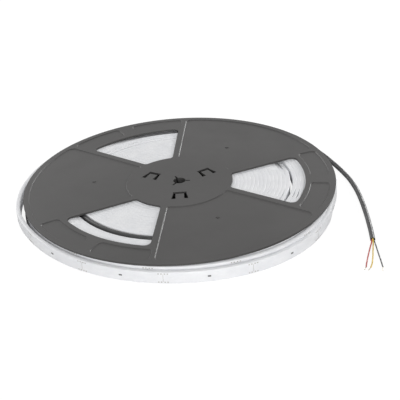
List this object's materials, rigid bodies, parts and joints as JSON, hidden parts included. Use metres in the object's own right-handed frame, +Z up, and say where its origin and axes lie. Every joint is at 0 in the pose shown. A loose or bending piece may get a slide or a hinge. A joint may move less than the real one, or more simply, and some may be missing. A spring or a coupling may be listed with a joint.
{
  "type": "led strip light reel",
  "caption": "Flat plastic reel with windows, filled with white silicone-sheathed LED strip, its outer turn loose and a black lead with bare-ended cores lying free.",
  "frame": {"origin": "middle of the surface covered by the reel and its strips, on the surface; the reel's axis is 3.7 mm towards +X and 1.0 mm towards +Y from it", "axes": "+Z up along the reel's axis; +X towards the side where the free lead lies; -Y towards the lead's cut end"},
  "size_m": [0.3617, 0.3453, 0.0166],
  "materials": {
    "reel_plastic": "moulded, satin",
    "strip_silicone": "milky silicone, satin",
    "lead_jacket": "extruded, satin",
    "red_insulation": "extruded, smooth",
    "yellow_insulation": "extruded, smooth",
    "black_insulation": "extruded, smooth",
    "tinned_wire": "tinned copper, dull bright"
  },
  "bodies": {
    "root": {"upper_reel_half": "reel_plastic", "lower_reel_half": "reel_plastic", "inner_strip_start_cap": "strip_silicone", "inner_strip_roll": "strip_silicone", "inner_strip_lead_cap": "strip_silicone", "outer_strip_start_cap": "strip_silicone", "outer_strip_roll": "strip_silicone", "outer_strip_lead_cap": "strip_silicone", "wound_lead_jacket": "lead_jacket", "wound_lead_core_red": "red_insulation", "wound_lead_core_yellow": "yellow_insulation", "wound_lead_core_black": "black_insulation", "wound_lead_wire_red": "tinned_wire", "wound_lead_wire_yellow": "tinned_wire", "wound_lead_wire_black": "tinned_wire", "lead_jacket": "lead_jacket", "lead_core_red": "red_insulation", "lead_core_yellow": "yellow_insulation", "lead_core_black": "black_insulation", "lead_wire_red": "tinned_wire", "lead_wire_yellow": "tinned_wire", "lead_wire_black": "tinned_wire"}
  },
  "joints": []
}
